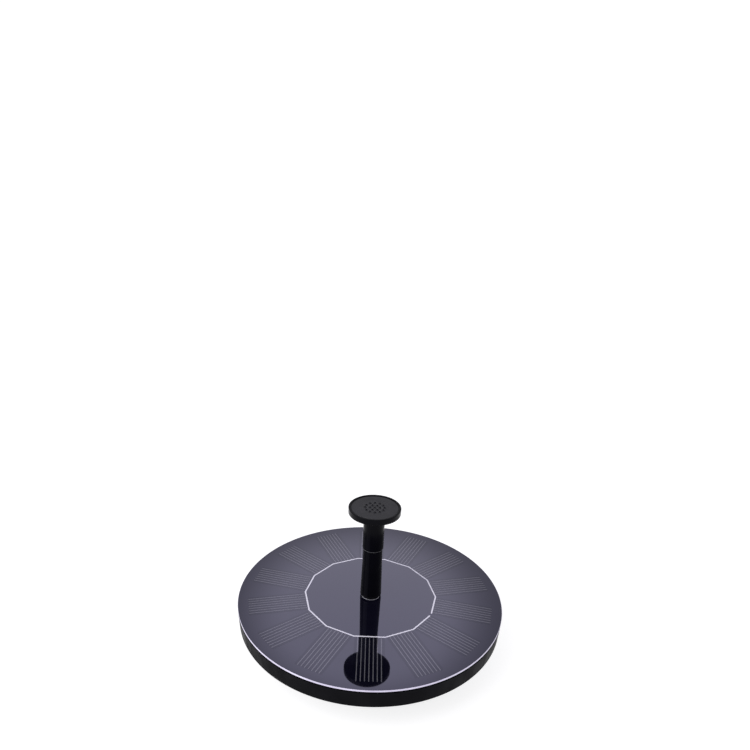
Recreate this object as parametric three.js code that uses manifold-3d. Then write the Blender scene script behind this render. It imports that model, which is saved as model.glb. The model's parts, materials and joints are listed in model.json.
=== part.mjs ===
// Floating solar fountain pump, in millimetres, +Z up.
// The origin is the centre of the strainer's underside, on which the fountain rests out of the water.
// A round float carries fourteen solar cells under a clear sheet, and the pump hangs below its centre.
// The rotor stands beside the central outlet, so the water rises straight up through the float
// into the stacked tube and nozzle.
import * as THREE from "three";
import { mergeVertices } from "three/addons/utils/BufferGeometryUtils.js";
import Module from "manifold-3d";

const wasm = await Module();
wasm.setup();

// ---- Driving dimensions ----

const FLOAT_R = 80;
const PANEL_TOP = 30;
const RIM_BOTTOM = 17.8;
const GAP = 0.3; // between pieces that are cut to fit each other

const SHEET_T = 1.1;
const BOARD_T = 1.2;
const CELL_T = 0.35;
const RIBBON_T = 0.4;
const LAYER_GAP = 0.1;
const CELL_COUNT = 14;
const CELL_RING_R = 40; // circumradius of the polygon that the ribbon makes
const CELL_LENGTH = 34;
const RIBBON_W = 1.1;

const SHELL_FLOOR = 19.8;
const SHELL_FLOOR_T = 1.6;
const SHELL_WALL_R = 77.2;
const RIM_TOP = 28.1;
const RIB_COUNT = 12;
const FOAM_HOLE_R = 42;

const PUMP_R = 33;
const PUMP_WALL = 1.6;
const VOLUTE_BOTTOM = 7.2;
const VOLUTE_TOP = 12;
const PLATE_T = 1.4;
const VOLUTE_WALL = 1.4;

const ROTOR_X = 18.2;
const SHAFT_R = 1;
const MAGNET_R = 5.1;
const IMPELLER_R = 9.4;
const VANE_COUNT = 6;
const CUP_R = 5.6;
const CUP_WALL = 1;
const CUP_TOP = 24;

const STATOR_R = 12.6;
const POLE_COUNT = 4;
const STACK_BOTTOM = 15;
const STACK_TOP = 21;

const OUTLET_R = 4.8;
const OUTLET_BORE_R = 3.6;
const OUTLET_TOP = 40;

const STRAINER_R = 35;
const STRAINER_TOP = 18.6;
const STRAINER_FLOOR_T = 1.6;
const STRAINER_SLOTS = 36;

const COLLAR_TOP = 32.6;
const TUBE_FOOT_R = 6.4; // the collar under the tube has the same radius
const TUBE_TOP_R = 5.7;
const TUBE_SEAM = 64.4; // height of the joint between the tube and the nozzle
const SLEEVE_R = 6.2;
const NOZZLE_TOP = 91.5;
const HEAD_R = 15.2;
const HEAD_T = 3.7;

const ROUND = 56; // facets of the float
const MEDIUM = 40; // facets of the pump
const SMALL = 20; // facets of shafts, bushes and tubes

// ---- Materials ----

const plastic = (color, roughness) => new THREE.MeshStandardMaterial({ color, roughness, metalness: 0 });
const metal = (color, roughness) => new THREE.MeshStandardMaterial({ color, roughness, metalness: 1 });

const FINISHES = {
  clear_sheet: () => new THREE.MeshStandardMaterial({
    color: 0x8e90a2, roughness: 0.05, metalness: 0, transparent: true, opacity: 0.3,
  }),
  cell: () => plastic(0x0d0e16, 0.25),
  ribbon: () => metal(0xd8d8dc, 0.35),
  board: () => plastic(0x08080b, 0.4),
  shell: () => plastic(0x121215, 0.32),
  pump: () => plastic(0x17171a, 0.45),
  nozzle: () => plastic(0x0c0c0f, 0.3),
  foam: () => plastic(0xd9d9d4, 0.9),
  rubber: () => plastic(0x0f0f10, 0.7),
  magnet: () => metal(0x2a2a2d, 0.55),
  impeller: () => plastic(0xe4e4e0, 0.4),
  ceramic: () => plastic(0xf0ede4, 0.25),
  steel_stack: () => metal(0x8b8d90, 0.4),
  copper: () => metal(0xb8652d, 0.35),
  driver: () => plastic(0x1c4a2c, 0.5),
  chip: () => plastic(0x1a1a1c, 0.5),
  can: () => metal(0xb5b7ba, 0.3),
  red_lead: () => plastic(0xa51616, 0.5),
  black_lead: () => plastic(0x101010, 0.5),
};

// ---- Shape helpers ----

// A closed geometry as a solid that can be joined and cut.
function toSolid(geometry) {
  const bare = new THREE.BufferGeometry();
  bare.setAttribute("position", geometry.getAttribute("position"));
  bare.setIndex(geometry.index);
  const merged = mergeVertices(bare, 1e-4);
  const corners = merged.index.array;
  const kept = [];
  for (let i = 0; i < corners.length; i += 3) {
    const [a, b, c] = [corners[i], corners[i + 1], corners[i + 2]];
    if (a !== b && b !== c && a !== c) kept.push(a, b, c);
  }
  return new wasm.Manifold(new wasm.Mesh({
    numProp: 3,
    vertProperties: merged.attributes.position.array,
    triVerts: new Uint32Array(kept),
  }));
}

// A solid back as a geometry for a mesh.
function toGeometry(solid) {
  const { vertProperties, triVerts } = solid.getMesh();
  const geometry = new THREE.BufferGeometry();
  geometry.setAttribute("position", new THREE.BufferAttribute(new Float32Array(vertProperties), 3));
  geometry.setIndex(new THREE.BufferAttribute(new Uint32Array(triVerts), 1));
  geometry.computeVertexNormals();
  return geometry;
}

// A closed outline of [radius, height] points turned about the upright line through (x, y).
function revolve(outline, facets, x = 0, y = 0) {
  const points = [...outline, outline[0]].map(([r, z]) => new THREE.Vector2(r, z));
  const geometry = new THREE.LatheGeometry(points, facets);
  geometry.rotateX(Math.PI / 2);
  geometry.translate(x, y, 0);
  return toSolid(geometry);
}

const cylinder = (r, z0, z1, facets, x = 0, y = 0) =>
  revolve([[0, z0], [r, z0], [r, z1], [0, z1]], facets, x, y);

const ring = (rIn, rOut, z0, z1, facets, x = 0, y = 0) =>
  revolve([[rIn, z0], [rOut, z0], [rOut, z1], [rIn, z1]], facets, x, y);

// A flat shape extruded from z0 to z1.
function prism(shape, z0, z1, curveSegments = 6) {
  const options = { depth: z1 - z0, bevelEnabled: false, curveSegments };
  const geometry = mergeVertices(new THREE.ExtrudeGeometry(shape, options));
  geometry.translate(0, 0, z0);
  return toSolid(geometry);
}

function block([x0, y0, z0], [x1, y1, z1], turn = 0) {
  const geometry = new THREE.BoxGeometry(x1 - x0, y1 - y0, z1 - z0);
  geometry.translate((x0 + x1) / 2, (y0 + y1) / 2, (z0 + z1) / 2);
  geometry.rotateZ(turn);
  return toSolid(geometry);
}

const polygon = (points) => new THREE.Shape(points.map(([x, y]) => new THREE.Vector2(x, y)));

const turns = (count, start = 0) =>
  Array.from({ length: count }, (_, i) => start + (i * 2 * Math.PI) / count);

const joined = (solids) => solids.reduce((whole, next) => whole.add(next));

// The outline round two circles and the straight tangents between them.
function tangentOutline([px, py], pr, [qx, qy], qr) {
  const run = Math.atan2(qy - py, qx - px);
  const lean = Math.acos((pr - qr) / Math.hypot(qx - px, qy - py));
  const shape = new THREE.Shape();
  shape.absarc(px, py, pr, run + lean, run - lean + 2 * Math.PI, false);
  shape.absarc(qx, qy, qr, run - lean, run + lean, false);
  return shape;
}

function mesh(name, solid, finish) {
  const made = new THREE.Mesh(toGeometry(solid), FINISHES[finish]());
  made.name = name;
  return made;
}

const numbered = (name, i) => `${name}_${String(i + 1).padStart(2, "0")}`;

// A round wire along a smooth curve through the points.
function wire(points, r, sides, steps) {
  const section = polygon(turns(sides).map((a) => [r * Math.cos(a), r * Math.sin(a)]));
  const path = new THREE.CatmullRomCurve3(points.map((p) => new THREE.Vector3(...p)));
  const options = { steps, extrudePath: path, bevelEnabled: false };
  return toSolid(mergeVertices(new THREE.ExtrudeGeometry(section, options)));
}

// ---- Solar panel ----

const sheetBottom = PANEL_TOP - SHEET_T;
const boardTop = RIM_TOP + 0.3;
const boardBottom = boardTop - BOARD_T;
const outletHoleR = OUTLET_R + 0.4;

function clearSheet() {
  const edge = 0.3;
  return revolve([
    [outletHoleR, sheetBottom],
    [FLOAT_R - edge, sheetBottom],
    [FLOAT_R, sheetBottom + edge],
    [FLOAT_R, PANEL_TOP - edge],
    [FLOAT_R - edge, PANEL_TOP],
    [outletHoleR, PANEL_TOP],
  ], ROUND);
}

const halfSector = Math.PI / CELL_COUNT;
const cellRingApothem = CELL_RING_R * Math.cos(halfSector);
const cellBottom = boardTop + LAYER_GAP / 2;

// One cell, lying along +X from the ribbon outwards.
function solarCell() {
  const halfWidth = CELL_RING_R * Math.sin(halfSector) - 0.4;
  const inner = cellRingApothem + RIBBON_W / 2 + GAP;
  return block([inner, -halfWidth, cellBottom], [inner + CELL_LENGTH, halfWidth, cellBottom + CELL_T]);
}

// The soldered ribbon along the inner ends of the cells. It is open at one corner, between two cells.
function busRibbon() {
  const half = RIBBON_W / 2 / Math.cos(halfSector);
  const corners = turns(CELL_COUNT);
  const at = (r) => corners.map((a) => [r * Math.cos(a), r * Math.sin(a)]);
  const ribbon = prism(polygon(at(CELL_RING_R + half)), cellBottom, cellBottom + RIBBON_T)
    .subtract(prism(polygon(at(CELL_RING_R - half)), cellBottom - 1, cellBottom + 1));
  const opening = block(
    [CELL_RING_R - 3, -0.9, cellBottom - 1],
    [CELL_RING_R + 3, 0.9, cellBottom + 1],
    -2 * halfSector,
  );
  return ribbon.subtract(opening);
}

function panel() {
  const group = new THREE.Group();
  group.add(mesh("clear_front_sheet", clearSheet(), "clear_sheet"));
  const board = ring(outletHoleR, SHELL_WALL_R + 0.8, boardBottom, boardTop, ROUND);
  group.add(mesh("panel_board", board, "board"));
  group.add(mesh("bus_ribbon", busRibbon(), "ribbon"));
  turns(CELL_COUNT, halfSector).forEach((turn, i) => {
    const cell = mesh(numbered("solar_cell", i), solarCell(), "cell");
    cell.rotation.z = turn;
    group.add(cell);
  });
  return group;
}

// ---- Float ----

const shellFloorTop = SHELL_FLOOR + SHELL_FLOOR_T;
const shellHoleR = PUMP_R + 0.4;

function floatShell() {
  const ledge = boardBottom - LAYER_GAP;
  const footInner = FLOAT_R - 3.4;
  const tray = revolve([
    [shellHoleR, STRAINER_TOP + GAP],
    [shellHoleR + 2.6, STRAINER_TOP + GAP],
    [shellHoleR + 2.6, SHELL_FLOOR],
    [footInner, SHELL_FLOOR],
    [footInner, RIM_BOTTOM],
    [FLOAT_R - 1, RIM_BOTTOM],
    [FLOAT_R - 0.5, RIM_BOTTOM + 0.6],
    [FLOAT_R, RIM_TOP - 0.4],
    [FLOAT_R - 0.3, RIM_TOP],
    [SHELL_WALL_R + 1.1, RIM_TOP],
    [SHELL_WALL_R + 1.1, ledge],
    [SHELL_WALL_R, ledge],
    [SHELL_WALL_R - 0.2, shellFloorTop],
    [shellHoleR, shellFloorTop],
  ], ROUND);
  const ribs = turns(RIB_COUNT, Math.PI / RIB_COUNT).map((turn) =>
    block([shellHoleR + 2, -0.7, STRAINER_TOP + 0.4], [footInner + 0.5, 0.7, SHELL_FLOOR + 0.2], turn));
  return joined([tray, ...ribs]);
}

function float() {
  const group = new THREE.Group();
  group.add(mesh("float_shell", floatShell(), "shell"));
  const foam = ring(FOAM_HOLE_R, SHELL_WALL_R - 1, shellFloorTop + 0.2, boardBottom - 0.4, MEDIUM);
  group.add(mesh("foam_ring", foam, "foam"));
  return group;
}

// ---- Pump body ----

const plateTop = VOLUTE_TOP + PLATE_T;
const skirtBottom = VOLUTE_BOTTOM - 1.4;
const flangeBottom = shellFloorTop + 0.2;
const drumTop = boardBottom - 0.2;

// The chamber round the impeller and its throat to the central outlet, grown outwards by margin.
function volute(z0, z1, margin) {
  const chamberR = IMPELLER_R + 2 + margin;
  const throatR = 3.7 + margin;
  const portR = OUTLET_BORE_R + 0.4 + margin;
  const throat = tangentOutline([ROTOR_X - 2, IMPELLER_R - 2.9], throatR, [0, 0], portR);
  return cylinder(chamberR, z0, z1, MEDIUM, ROTOR_X).add(prism(throat, z0, z1, 8));
}

function pumpBody() {
  const innerR = PUMP_R - PUMP_WALL;
  const flangeTop = flangeBottom + 1.4;
  const inPlate = VOLUTE_TOP + PLATE_T / 2;
  const drum = revolve([
    [0, VOLUTE_TOP],
    [innerR, VOLUTE_TOP],
    [innerR, skirtBottom],
    [PUMP_R, skirtBottom],
    [PUMP_R, flangeBottom],
    [PUMP_R + 4, flangeBottom],
    [PUMP_R + 4, flangeTop],
    [PUMP_R, flangeTop],
    [PUMP_R, drumTop],
    [innerR, drumTop],
    [innerR, plateTop],
    [0, plateTop],
  ], MEDIUM);
  const outside = joined([
    drum,
    volute(VOLUTE_BOTTOM, inPlate, VOLUTE_WALL),
    cylinder(CUP_R + CUP_WALL, inPlate, CUP_TOP + CUP_WALL, SMALL, ROTOR_X),
    cylinder(OUTLET_R, inPlate, OUTLET_TOP, SMALL),
  ]);
  const hollow = joined([
    volute(VOLUTE_BOTTOM - 1, VOLUTE_TOP, 0),
    cylinder(CUP_R, VOLUTE_TOP - 1, CUP_TOP, SMALL, ROTOR_X),
    cylinder(OUTLET_BORE_R, VOLUTE_TOP - 1, OUTLET_TOP + 1, SMALL),
  ]);
  const bushSocket = ring(2.4, 3.4, CUP_TOP - 2.2, CUP_TOP + CUP_WALL / 2, SMALL, ROTOR_X);
  const posts = [-13, 13].map((y) => cylinder(1.4, inPlate, driverBottom - LAYER_GAP, 8, -16.5, y));
  const lugs = turns(3, Math.PI / 2).map((turn) =>
    block([PUMP_R - 0.8, -2.5, STRAINER_TOP - 2.6], [PUMP_R + 1.3, 2.5, STRAINER_TOP - 0.8], turn));
  return joined([outside.subtract(hollow), bushSocket, ...posts, ...lugs]);
}

// ---- Stator and driver ----

const driverBottom = 16;
const driverTop = driverBottom + 1.2;
const toothHalf = 1.6;

// The stator stands round the rotor cup. It is drawn about its own axis.
function statorCore() {
  const cup = CUP_R + CUP_WALL + GAP;
  const yoke = ring(STATOR_R - 2, STATOR_R, STACK_BOTTOM, STACK_TOP, MEDIUM);
  const shoe = ring(cup, cup + 0.9, STACK_BOTTOM, STACK_TOP, MEDIUM);
  const slots = turns(POLE_COUNT).map((turn) =>
    block([cup - 1, -1.6, STACK_BOTTOM - 1], [cup + 2, 1.6, STACK_TOP + 1], turn));
  const teeth = turns(POLE_COUNT, Math.PI / POLE_COUNT).map((turn) =>
    block([cup + 0.4, -toothHalf, STACK_BOTTOM], [STATOR_R - 1, toothHalf, STACK_TOP], turn));
  return joined([yoke, shoe.subtract(joined(slots)), ...teeth]);
}

// One coil, wound round the tooth that points along +X.
function statorCoil() {
  const middle = (STACK_BOTTOM + STACK_TOP) / 2;
  const tall = (STACK_TOP - STACK_BOTTOM) / 2;
  const [near, far, thick] = [8.1, 9.9, 1.3];
  const winding = block(
    [near, -toothHalf - GAP - thick, middle - tall - GAP - thick],
    [far, toothHalf + GAP + thick, middle + tall + GAP + thick],
  );
  return winding.subtract(block(
    [near - 1, -toothHalf - GAP, middle - tall - GAP],
    [far + 1, toothHalf + GAP, middle + tall + GAP],
  ));
}

function stator() {
  const group = new THREE.Group();
  group.position.x = ROTOR_X;
  group.add(mesh("stator_core", statorCore(), "steel_stack"));
  turns(POLE_COUNT, Math.PI / POLE_COUNT).forEach((turn, i) => {
    const coil = mesh(numbered("stator_coil", i), statorCoil(), "copper");
    coil.rotation.z = turn;
    group.add(coil);
  });
  return group;
}

function driver() {
  const group = new THREE.Group();
  const parts = driverTop + LAYER_GAP;
  group.add(mesh("driver_board", block([-25.5, -15, driverBottom], [-7.5, 15, driverTop]), "driver"));
  group.add(mesh("driver_chip", block([-19, -3, parts], [-14, 3, parts + 1.6]), "chip"));
  group.add(mesh("smoothing_capacitor", cylinder(3.2, parts, parts + 5.6, SMALL, -19.5, -9.5), "can"));
  const panelLeads = [["positive_lead", 1, "red_lead"], ["negative_lead", -1, "black_lead"]];
  for (const [name, side, finish] of panelLeads) {
    const y = 7 + side * 1.6;
    const route = [
      [-22, y, parts],
      [-22, y, parts + 3],
      [-18, y + side * 1.2, parts + 6.2],
      [-13, y + side * 1.2, boardBottom - 3],
      [-12, y, boardBottom - GAP],
    ];
    group.add(mesh(name, wire(route, 0.6, 8, 14), finish));
  }
  for (const [name, side] of [["stator_lead_01", 1], ["stator_lead_02", -1]]) {
    const route = [
      [-10, side * 6.5, parts],
      [-9, side * 6.8, parts + 4],
      [0, side * 8, STACK_TOP + 2.4],
      [ROTOR_X - 8.5, side * 8.2, STACK_TOP + 1.9],
    ];
    group.add(mesh(name, wire(route, 0.4, 6, 10), "copper"));
  }
  return group;
}

// ---- Rotor ----

const rotorTop = CUP_TOP - 3;

// The magnet, impeller, shaft and bushes are drawn about the rotor's own axis.
function impeller() {
  const bottom = VOLUTE_BOTTOM + 0.7;
  const discBottom = VOLUTE_TOP - 1.8;
  const hub = ring(SHAFT_R + 0.1, 2.4, bottom, rotorTop + GAP, SMALL);
  const disc = ring(2, IMPELLER_R, discBottom, discBottom + 1, MEDIUM);
  const vanes = turns(VANE_COUNT).map((turn) => prism(vaneOutline(turn), bottom, discBottom + 0.1));
  return joined([hub, disc, ...vanes]);
}

// A vane that sweeps backwards as it runs out from the hub.
function vaneOutline(turn) {
  const [rootR, sweep, halfThick, steps] = [2, -0.9, 0.45, 5];
  const side = (offset) => Array.from({ length: steps + 1 }, (_, i) => {
    const t = i / steps;
    const r = rootR + (IMPELLER_R - 0.1 - rootR) * t;
    const angle = turn + sweep * t * t + offset / r;
    return [r * Math.cos(angle), r * Math.sin(angle)];
  });
  return polygon([...side(-halfThick), ...side(halfThick).reverse()]);
}

function rotor() {
  const group = new THREE.Group();
  group.position.x = ROTOR_X;
  group.add(mesh("impeller", impeller(), "impeller"));
  group.add(mesh("rotor_magnet", ring(2.5, MAGNET_R, plateTop + 0.2, rotorTop, SMALL), "magnet"));
  group.add(mesh("rotor_shaft", cylinder(SHAFT_R, 4.6, CUP_TOP - 0.8, SMALL), "ceramic"));
  group.add(mesh("upper_bush", ring(SHAFT_R + 0.05, 2.3, CUP_TOP - 2.1, CUP_TOP - 0.1, SMALL), "rubber"));
  group.add(mesh("lower_bush", revolve([
    [0, 3.9], [1.9, 3.9], [1.9, 6.9], [SHAFT_R + 0.05, 6.9], [SHAFT_R + 0.05, 4.5], [0, 4.5],
  ], SMALL), "rubber"));
  return group;
}

// ---- Covers under the pump ----

const coverBottom = VOLUTE_BOTTOM - 1.2;

// The plate that closes the volute, with the eye that feeds the impeller and a spider that holds the shaft.
function impellerCover() {
  const coverTop = VOLUTE_BOTTOM - LAYER_GAP;
  const plate = cylinder(PUMP_R - PUMP_WALL - GAP, coverBottom, coverTop, MEDIUM);
  const eye = cylinder(5.4, coverBottom - 1, coverTop + 1, SMALL, ROTOR_X);
  const hub = revolve([
    [0, 2.9], [3, 2.9], [3, coverTop], [2.05, coverTop], [2.05, 3.7], [0, 3.7],
  ], SMALL, ROTOR_X);
  const spokes = turns(3, Math.PI).map((turn) => {
    const geometry = new THREE.BoxGeometry(3.4, 1.1, coverTop - coverBottom);
    geometry.translate(2.8 + 1.4, 0, (coverTop + coverBottom) / 2);
    geometry.rotateZ(turn);
    geometry.translate(ROTOR_X, 0, 0);
    return toSolid(geometry);
  });
  const grip = block([-12, -0.9, coverBottom - 2.4], [4, 0.9, coverBottom + 0.1]);
  return joined([plate.subtract(eye), hub, ...spokes, grip]);
}

function strainer() {
  const outer = STRAINER_R;
  const inner = shellHoleR;
  const cup = revolve([
    [0, 0],
    [outer - 1.2, 0],
    [outer, 1.2],
    [outer, STRAINER_TOP],
    [inner, STRAINER_TOP],
    [inner, STRAINER_FLOOR_T],
    [0, STRAINER_FLOOR_T],
  ], STRAINER_SLOTS);
  const halfPitch = Math.PI / STRAINER_SLOTS;
  const sideSlots = turns(STRAINER_SLOTS, halfPitch).map((turn) =>
    block([inner - 2, -1, STRAINER_FLOOR_T + 0.4], [outer + 1, 1, coverBottom], turn));
  const floorSlots = turns(STRAINER_SLOTS / 2, halfPitch).map((turn) =>
    block([13, -0.9, -1], [29, 0.9, STRAINER_FLOOR_T + 1], turn));
  const notches = turns(3, Math.PI / 2).map((turn) =>
    block([inner - 2, -3, STRAINER_TOP - 3.2], [outer + 1, 3, STRAINER_TOP + 1], turn));
  return cup.subtract(joined([...sideSlots, ...floorSlots, ...notches]));
}

// ---- Tube and nozzle ----

function sealCollar() {
  return revolve([
    [OUTLET_R + 0.1, PANEL_TOP + LAYER_GAP],
    [TUBE_FOOT_R - 0.95, PANEL_TOP + LAYER_GAP],
    [TUBE_FOOT_R, PANEL_TOP + 1.4],
    [TUBE_FOOT_R, COLLAR_TOP],
    [OUTLET_R + 0.1, COLLAR_TOP],
  ], SMALL);
}

const spigotR = 5.05;
const spigotTop = TUBE_SEAM + 8;

function extensionTube() {
  const bottom = COLLAR_TOP + 0.2;
  const boreR = 3.8;
  const socketR = OUTLET_R + 0.15;
  return revolve([
    [socketR, bottom],
    [TUBE_FOOT_R, bottom],
    [TUBE_TOP_R, TUBE_SEAM - 0.1],
    [spigotR, TUBE_SEAM - 0.1],
    [spigotR, spigotTop],
    [boreR, spigotTop],
    [boreR, OUTLET_TOP + 1.4],
    [socketR, OUTLET_TOP + 0.4],
  ], SMALL);
}

const plateRecessR = HEAD_R - 1.4;
const plenumFloor = NOZZLE_TOP - 1.4;

function nozzleBody() {
  const underside = NOZZLE_TOP - HEAD_T;
  const socketR = spigotR + 0.15;
  const flare = new THREE.CubicBezierCurve(
    new THREE.Vector2(SLEEVE_R, underside - 3),
    new THREE.Vector2(SLEEVE_R + 0.1, underside - 1.2),
    new THREE.Vector2(SLEEVE_R + 1, underside - 0.4),
    new THREE.Vector2(HEAD_R - 0.6, underside),
  );
  return revolve([
    [socketR, TUBE_SEAM + 0.1],
    [SLEEVE_R - 0.25, TUBE_SEAM + 0.1],
    [SLEEVE_R, TUBE_SEAM + 0.35],
    ...flare.getPoints(5).map((p) => [p.x, p.y]),
    [HEAD_R, underside + 0.5],
    [HEAD_R, NOZZLE_TOP - 0.4],
    [HEAD_R - 0.4, NOZZLE_TOP],
    [plateRecessR, NOZZLE_TOP],
    [plateRecessR, plenumFloor],
    [8, plenumFloor],
    [8, plenumFloor - 1.2],
    [4.4, plenumFloor - 4],
    [4.4, spigotTop + 1.2],
    [socketR, spigotTop + GAP],
  ], SMALL);
}

// The disc of jets: one in the middle and two rings round it.
function sprayPlate() {
  const bottom = plenumFloor + LAYER_GAP;
  const top = bottom + 1;
  const jetR = 0.55;
  const jets = [[1, 0], [6, 2.8], [12, 5.6]].flatMap(([count, r]) =>
    turns(count).map((a) => cylinder(jetR, bottom - 1, top + 1, 8, r * Math.cos(a), r * Math.sin(a))));
  return cylinder(plateRecessR - 0.2, bottom, top, SMALL).subtract(joined(jets));
}

// ---- The whole fountain ----

const fountain = new THREE.Group();
fountain.add(
  panel(),
  float(),
  mesh("pump_body", pumpBody(), "pump"),
  stator(),
  driver(),
  rotor(),
  mesh("impeller_cover", impellerCover(), "pump"),
  mesh("strainer_cover", strainer(), "pump"),
  mesh("outlet_seal_collar", sealCollar(), "rubber"),
  mesh("extension_tube", extensionTube(), "nozzle"),
  mesh("nozzle_body", nozzleBody(), "nozzle"),
  mesh("spray_plate", sprayPlate(), "nozzle"),
);

export default fountain;
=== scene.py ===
"""Looks for the solar fountain pump: its pieces, materials, floor, lights and camera."""

import json
from math import acos, atan2, cos, hypot, pi, radians, sin, sqrt, tan, tau

import bmesh
import bpy
from mathutils import Matrix, Vector

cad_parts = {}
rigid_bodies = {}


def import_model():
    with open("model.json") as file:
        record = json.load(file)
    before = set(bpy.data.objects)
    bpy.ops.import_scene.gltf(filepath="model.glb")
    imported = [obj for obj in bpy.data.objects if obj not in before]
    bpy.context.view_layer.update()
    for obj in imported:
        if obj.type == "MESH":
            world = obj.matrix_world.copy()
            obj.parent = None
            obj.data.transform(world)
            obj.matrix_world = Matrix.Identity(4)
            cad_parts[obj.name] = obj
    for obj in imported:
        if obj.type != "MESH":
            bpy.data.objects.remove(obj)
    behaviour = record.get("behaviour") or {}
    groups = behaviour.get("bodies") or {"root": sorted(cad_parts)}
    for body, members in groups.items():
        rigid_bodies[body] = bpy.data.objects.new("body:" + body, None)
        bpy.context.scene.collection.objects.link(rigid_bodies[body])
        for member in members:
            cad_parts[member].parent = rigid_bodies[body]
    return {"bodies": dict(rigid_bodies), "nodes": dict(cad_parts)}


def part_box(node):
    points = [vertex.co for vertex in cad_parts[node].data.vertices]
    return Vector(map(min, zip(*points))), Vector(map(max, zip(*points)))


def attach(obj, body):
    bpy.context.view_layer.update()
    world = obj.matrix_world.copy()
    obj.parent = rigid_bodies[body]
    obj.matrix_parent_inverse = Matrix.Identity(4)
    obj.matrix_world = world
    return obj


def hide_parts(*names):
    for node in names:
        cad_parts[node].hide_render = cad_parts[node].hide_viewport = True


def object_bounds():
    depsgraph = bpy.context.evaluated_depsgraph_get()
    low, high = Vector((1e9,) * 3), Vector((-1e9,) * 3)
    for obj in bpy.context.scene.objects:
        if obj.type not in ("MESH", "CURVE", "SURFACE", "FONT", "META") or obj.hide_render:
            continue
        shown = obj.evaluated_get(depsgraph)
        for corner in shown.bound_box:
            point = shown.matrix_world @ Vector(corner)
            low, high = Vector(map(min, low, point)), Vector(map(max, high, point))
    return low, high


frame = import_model()
cad_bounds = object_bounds()

MM = 0.001

# ---- Sizes, in millimetres, from the frame where it has them ----


def extent(node):
    """A CAD node's lowest and highest corners, in millimetres."""
    low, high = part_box(node)
    return low / MM, high / MM


sheet_low, sheet_high = extent("clear_front_sheet")
board_low, board_high = extent("panel_board")
tray_low, tray_high = extent("float_shell")
foam_low, foam_high = extent("foam_ring")
pump_low, pump_high = extent("pump_body")
core_low, core_high = extent("stator_core")
driver_low, driver_high = extent("driver_board")
chip_low, chip_high = extent("driver_chip")
can_low, can_high = extent("smoothing_capacitor")
impeller_low, impeller_high = extent("impeller")
magnet_low, magnet_high = extent("rotor_magnet")
shaft_low, shaft_high = extent("rotor_shaft")
upper_low, upper_high = extent("upper_bush")
lower_low, lower_high = extent("lower_bush")
cover_low, cover_high = extent("impeller_cover")
strainer_low, strainer_high = extent("strainer_cover")
collar_low, collar_high = extent("outlet_seal_collar")
tube_high = extent("extension_tube")[1]
nozzle_low, nozzle_high = extent("nozzle_body")
plate_low, plate_high = extent("spray_plate")

FLOAT_R = sheet_high.x
PANEL_TOP = sheet_high.z
TUBE_HOLE_R = 5.2
CELL_COUNT = 14
RIBBON_R = 40
FINGERS = 7
FINGER_PITCH = 2.2
FINGER_W = 0.5
ROTOR_X = (shaft_low.x + shaft_high.x) / 2

# ---- Outlines ----


def corner(before, here, after, radius, steps):
    """The points of an arc that rounds the corner at here."""
    to_before = (Vector(before) - Vector(here)).normalized()
    to_after = (Vector(after) - Vector(here)).normalized()
    half = to_before.angle(to_after) / 2
    if half > radians(89.5):
        # The outline runs nearly straight on here.
        return [Vector(here)]
    centre = Vector(here) + (to_before + to_after).normalized() * radius / sin(half)
    start = Vector(here) + to_before * radius / tan(half) - centre
    end = Vector(here) + to_after * radius / tan(half) - centre
    turn = atan2(start.x * end.y - start.y * end.x, start.dot(end))
    return [centre + Matrix.Rotation(turn * i / steps, 2) @ start for i in range(steps + 1)]


def rounded(outline, steps=5):
    """A closed outline of (x, y) or (x, y, corner radius) with its corners rounded."""
    points = []
    for i, point in enumerate(outline):
        if len(point) == 2:
            points.append(Vector(point))
            continue
        before, after = outline[i - 1][:2], outline[(i + 1) % len(outline)][:2]
        points += corner(before, point[:2], after, point[2], steps)
    return points


def arc(radius, start, end, steps, x=0, y=0):
    """The points of an arc about (x, y), from the start angle to the end angle, in radians."""
    angles = [start + (end - start) * i / steps for i in range(steps + 1)]
    return [(x + radius * cos(a), y + radius * sin(a)) for a in angles]


def circle(radius, count, x=0, y=0):
    return arc(radius, 0, tau, count, x, y)[:-1]


def oblong(inner, outer, half, steps=6):
    """A strip along X, from inner to outer, with round ends."""
    far = arc(half, -pi / 2, pi / 2, steps, outer - half)
    return far + arc(half, pi / 2, 3 * pi / 2, steps, inner + half)


def tangents(first, first_r, second, second_r):
    """The outline round two circles and the straight lines that touch them both."""
    steps = 24
    run = atan2(second[1] - first[1], second[0] - first[0])
    lean = acos((first_r - second_r) / hypot(second[0] - first[0], second[1] - first[1]))
    near = arc(first_r, run + lean, run - lean + tau, steps, *first)
    return near + arc(second_r, run - lean, run + lean, steps, *second)


def bezier(points, steps=10):
    """Points along the cubic curve with these four control points."""
    a, b, c, d = (Vector(point) for point in points)
    curve = []
    for i in range(steps + 1):
        t = i / steps
        u = 1 - t
        curve.append(u * u * u * a + 3 * u * u * t * b + 3 * u * t * t * c + t * t * t * d)
    return curve


def spline(points):
    """A smooth run through the points."""
    points = [Vector(point) for point in points]
    run = []
    for i in range(len(points) - 1):
        before = points[max(i - 1, 0)]
        after = points[min(i + 2, len(points) - 1)]
        reach = (points[i + 1] - points[i]) / 3
        first = points[i] + ((points[i + 1] - before) / 6 if i else reach)
        last = points[i + 1] - ((after - points[i]) / 6 if i < len(points) - 2 else reach)
        run += bezier([points[i], first, last, points[i + 1]])[:-1]
    return run + [points[-1]]


# ---- Pieces ----

CREASE = radians(35)


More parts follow.
